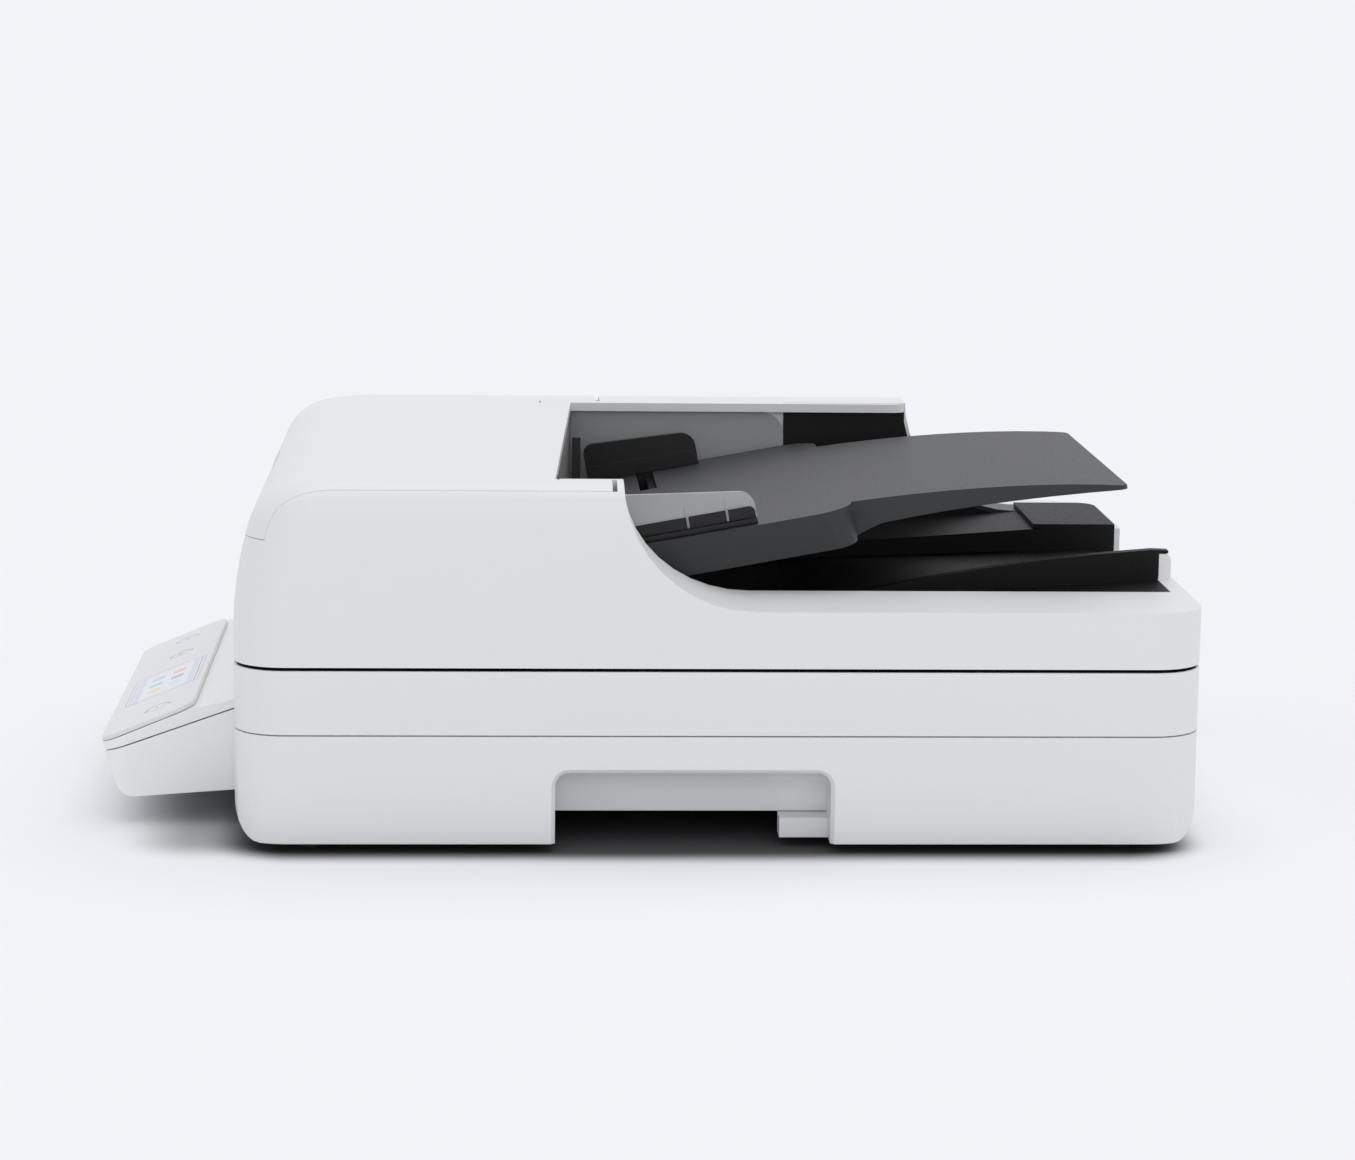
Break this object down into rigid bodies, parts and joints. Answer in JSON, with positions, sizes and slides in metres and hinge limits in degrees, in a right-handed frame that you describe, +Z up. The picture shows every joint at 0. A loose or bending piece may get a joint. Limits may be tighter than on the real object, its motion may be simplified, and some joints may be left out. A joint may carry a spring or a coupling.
{
  "type": "flatbed scanner",
  "caption": "Desktop flatbed scanner whose hinged lid is a sheet feeder with a sloped input tray, an output tray below it and a tilted touch panel in front.",
  "frame": {"origin": "centre of the overall box, on the plane the feet stand on", "axes": "+X to the user's right, -Y to the front with the control panel, +Y to the hinges at the rear, +Z up"},
  "size_m": [0.351, 0.5174, 0.1725],
  "materials": {
    "white_plastic": "fine satin texture",
    "grey_plastic": "fine satin texture",
    "liner_plastic": "fine satin texture",
    "dark_plastic": "fine satin texture",
    "black_plastic": "satin",
    "rubber": "matt",
    "steel": "drawn or pressed",
    "acetal": "moulded, slightly waxy",
    "clear_glass": "polished",
    "clear_plastic": "clear moulding",
    "board": "lacquered laminate",
    "display": "lit screen behind glass",
    "lit_key": "lit from inside, pale blue",
    "pad": "white foil on foam"
  },
  "bodies": {
    "base": {"base_tub": "white_plastic", "foot_front_right": "rubber", "foot_rear_right": "rubber", "foot_front_left": "rubber", "foot_rear_left": "rubber", "base_frame": "white_plastic", "platen_glass": "clear_glass", "feeder_glass": "clear_glass", "guide_rod": "steel", "scan_motor": "steel", "scan_belt": "rubber", "main_board": "board", "port_panel": "dark_plastic", "usb_socket": "steel", "lan_socket": "steel", "dc_jack": "black_plastic", "panel_housing": "white_plastic", "panel_cover": "white_plastic", "panel_face": "grey_plastic", "touch_display": "display"},
    "carriage": {"scan_carriage": "black_plastic", "light_bar": "clear_plastic"},
    "drive_pulley": {"drive_pulley": "steel"},
    "idler_pulley": {"idler_pulley": "acetal"},
    "key_right": {"key_right": "grey_plastic"},
    "key_left": {"key_left": "grey_plastic"},
    "key_start": {"key_start": "lit_key"},
    "hinges": {"hinge_right": "dark_plastic", "hinge_left": "dark_plastic"},
    "lid": {"lid_shell": "white_plastic", "lid_underside": "white_plastic", "document_pad": "pad", "backing_bar": "pad", "output_tray": "black_plastic", "side_liner": "liner_plastic", "feeder_chassis": "black_plastic", "feeder_motor": "steel", "exit_belt": "rubber", "hinge_pin_right": "steel", "hinge_pin_left": "steel"},
    "feeder_cover": {"feeder_cover": "white_plastic"},
    "cover_latch": {"cover_latch": "grey_plastic"},
    "input_tray": {"input_tray": "dark_plastic", "tray_bottom": "dark_plastic"},
    "right_guide": {"guide_right": "black_plastic", "guide_window": "clear_plastic", "rack_right": "black_plastic"},
    "left_guide": {"guide_left": "black_plastic", "rack_left": "black_plastic"},
    "guide_pinion": {"guide_pinion": "acetal"},
    "pick_arm": {"pick_arm": "dark_plastic"},
    "pick_roller": {"pick_roller": "rubber"},
    "turn_roller": {"turn_roller": "rubber"},
    "feed_roller": {"feed_roller": "rubber"},
    "separation_roller": {"separation_roller": "rubber"},
    "exit_roller": {"exit_roller": "rubber"},
    "pinch_roller": {"pinch_roller": "acetal"},
    "motor_pinion": {"motor_pinion": "acetal"}
  },
  "joints": [
    {"name": "lid_lift", "type": "slide", "parent": "base", "child": "hinges", "axis": [0, 0, 1], "range_m": [0, 0.015]},
    {"name": "lid_open", "type": "hinge", "parent": "hinges", "child": "lid", "pos_m": [0, 0.2542, 0.097], "axis": [-1, 0, 0], "range_deg": [0, 75]},
    {"name": "cover_open", "type": "hinge", "parent": "lid", "child": "feeder_cover", "pos_m": [0, -0.0278, 0.1663], "axis": [-1, 0, 0], "range_deg": [0, 75]},
    {"name": "latch_tip", "type": "hinge", "parent": "feeder_cover", "child": "cover_latch", "pos_m": [0, -0.1743, 0.1576], "axis": [1, 0, 0], "range_deg": [0, 12], "stiffness_Nm_per_rad": 0.2, "springref_deg": -8.59},
    {"name": "tray_lift", "type": "hinge", "parent": "lid", "child": "input_tray", "pos_m": [0, -0.0193, 0.1261], "axis": [1, 0, 0], "range_deg": [0, 22]},
    {"name": "guide_right_slide", "type": "slide", "parent": "input_tray", "child": "right_guide", "axis": [1, 0, 0], "range_m": [-0.06, 0]},
    {"name": "guide_left_slide", "type": "slide", "parent": "input_tray", "child": "left_guide", "axis": [1, 0, 0], "range_m": [0, 0.06]},
    {"name": "guide_pinion_spin", "type": "hinge", "parent": "input_tray", "child": "guide_pinion", "pos_m": [0, 0.0279, 0.13485], "axis": [0, -0.1822, 0.9833], "range_deg": [0, 287]},
    {"name": "arm_lift", "type": "hinge", "parent": "lid", "child": "pick_arm", "pos_m": [0, -0.10923, 0.12618], "axis": [1, 0, 0], "range_deg": [0, 18]},
    {"name": "turn_spin", "type": "hinge", "parent": "lid", "child": "turn_roller", "pos_m": [0, -0.1303, 0.1085], "axis": [1, 0, 0], "continuous": true},
    {"name": "feed_spin", "type": "hinge", "parent": "lid", "child": "feed_roller", "pos_m": [0, -0.10923, 0.12618], "axis": [1, 0, 0], "continuous": true},
    {"name": "pinion_spin", "type": "hinge", "parent": "lid", "child": "motor_pinion", "pos_m": [0, -0.13981, 0.12889], "axis": [1, 0, 0], "continuous": true},
    {"name": "pick_spin", "type": "hinge", "parent": "pick_arm", "child": "pick_roller", "pos_m": [0, -0.0643, 0.13424], "axis": [1, 0, 0], "continuous": true},
    {"name": "separation_spin", "type": "hinge", "parent": "lid", "child": "separation_roller", "pos_m": [0, -0.10599, 0.10867], "axis": [1, 0, 0], "continuous": true},
    {"name": "exit_spin", "type": "hinge", "parent": "lid", "child": "exit_roller", "pos_m": [0, -0.0343, 0.112], "axis": [1, 0, 0], "continuous": true},
    {"name": "pinch_spin", "type": "hinge", "parent": "lid", "child": "pinch_roller", "pos_m": [0, -0.0343, 0.0977], "axis": [1, 0, 0], "continuous": true},
    {"name": "carriage_travel", "type": "slide", "parent": "base", "child": "carriage", "axis": [0, 1, 0], "range_m": [0, 0.31]},
    {"name": "drive_spin", "type": "hinge", "parent": "base", "child": "drive_pulley", "pos_m": [0.088, -0.1683, 0.03], "axis": [0, 0, 1], "range_deg": [-2401, 1]},
    {"name": "idler_spin", "type": "hinge", "parent": "base", "child": "idler_pulley", "pos_m": [0.088, 0.2377, 0.03], "axis": [0, 0, 1], "range_deg": [-2401, 1]},
    {"name": "key_right_press", "type": "slide", "parent": "base", "child": "key_right", "axis": [0, 0.3795, -0.9252], "range_m": [0, 0.0008], "stiffness_N_per_m": 500, "springref_m": -0.0005},
    {"name": "key_left_press", "type": "slide", "parent": "base", "child": "key_left", "axis": [0, 0.3795, -0.9252], "range_m": [0, 0.0008], "stiffness_N_per_m": 500, "springref_m": -0.0005},
    {"name": "key_start_press", "type": "slide", "parent": "base", "child": "key_start", "axis": [0, 0.3795, -0.9252], "range_m": [0, 0.0008], "stiffness_N_per_m": 500, "springref_m": -0.0005}
  ],
  "couplings": [
    {"joint": "guide_left_slide", "follows": "guide_right_slide", "ratio": -1},
    {"joint": "guide_pinion_spin", "follows": "guide_right_slide", "rad_per_m": -83.333},
    {"joint": "feed_spin", "follows": "turn_spin", "ratio": -1.2},
    {"joint": "pinion_spin", "follows": "turn_spin", "ratio": -2},
    {"joint": "pick_spin", "follows": "turn_spin", "ratio": -1.2},
    {"joint": "separation_spin", "follows": "turn_spin", "ratio": 1.35},
    {"joint": "exit_spin", "follows": "turn_spin", "ratio": 1},
    {"joint": "pinch_spin", "follows": "turn_spin", "ratio": -2},
    {"joint": "drive_spin", "follows": "carriage_travel", "rad_per_m": -135.14},
    {"joint": "idler_spin", "follows": "carriage_travel", "rad_per_m": -135.14}
  ]
}
